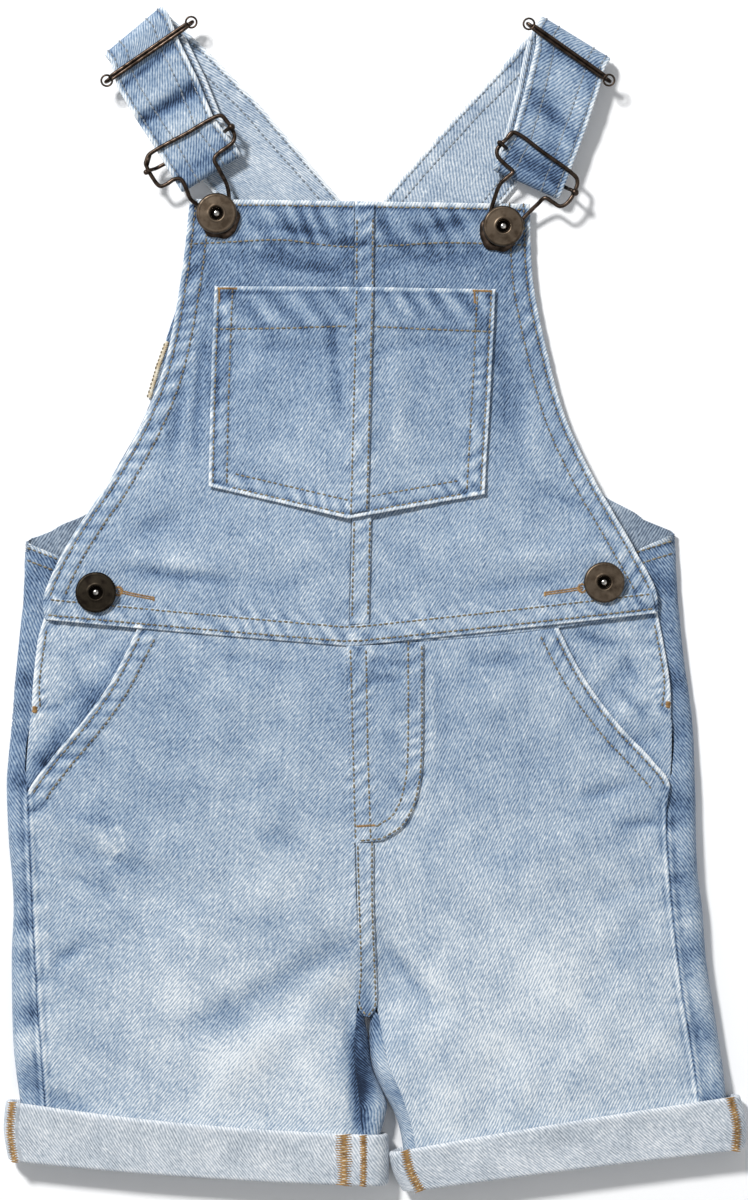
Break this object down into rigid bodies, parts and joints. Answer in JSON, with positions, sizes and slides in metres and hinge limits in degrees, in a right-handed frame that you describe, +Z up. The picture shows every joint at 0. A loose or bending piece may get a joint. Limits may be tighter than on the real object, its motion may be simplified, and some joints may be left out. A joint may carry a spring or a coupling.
{
  "type": "child's denim shortalls",
  "caption": "Light-wash denim bib shortalls laid flat: buckled straps, bib pocket, slanted hip pockets, mock fly and turned-up cuffs.",
  "frame": {"origin": "middle of the laid-out garment's box, on the surface it lies on", "axes": "+X across the garment to the right as seen from above, +Y up towards the shoulder straps, +Z up off the surface, out of the front of the garment"},
  "size_m": [0.304, 0.4866, 0.0145],
  "materials": {
    "denim_front": "light-wash denim",
    "denim_back": "light-wash denim",
    "denim_seam": "felled denim seam",
    "denim_inside": "pale inside of the denim, turned out",
    "antique_brass": "antiqued",
    "dark_wire": "dark plated"
  },
  "bodies": {
    "root": {"front_left": "denim_front", "front_right": "denim_front", "hip_facing_left": "denim_front", "hip_facing_right": "denim_front", "bib_left": "denim_front", "bib_right": "denim_front", "bib_pocket": "denim_front", "strap_left": "denim_front", "strap_right": "denim_front", "back_left": "denim_back", "back_right": "denim_back", "waist_seam": "denim_seam", "bib_seam": "denim_seam", "pocket_seam": "denim_seam", "front_seam": "denim_seam", "fly": "denim_seam", "cuff_left": "denim_inside", "cuff_right": "denim_inside", "button_bib_left": "antique_brass", "button_bib_right": "antique_brass", "button_side_left": "antique_brass", "button_side_right": "antique_brass", "buckle_left": "dark_wire", "buckle_right": "dark_wire", "buckle_bar_left": "dark_wire", "buckle_bar_right": "dark_wire", "slider_left": "dark_wire", "slider_right": "dark_wire"}
  },
  "joints": []
}
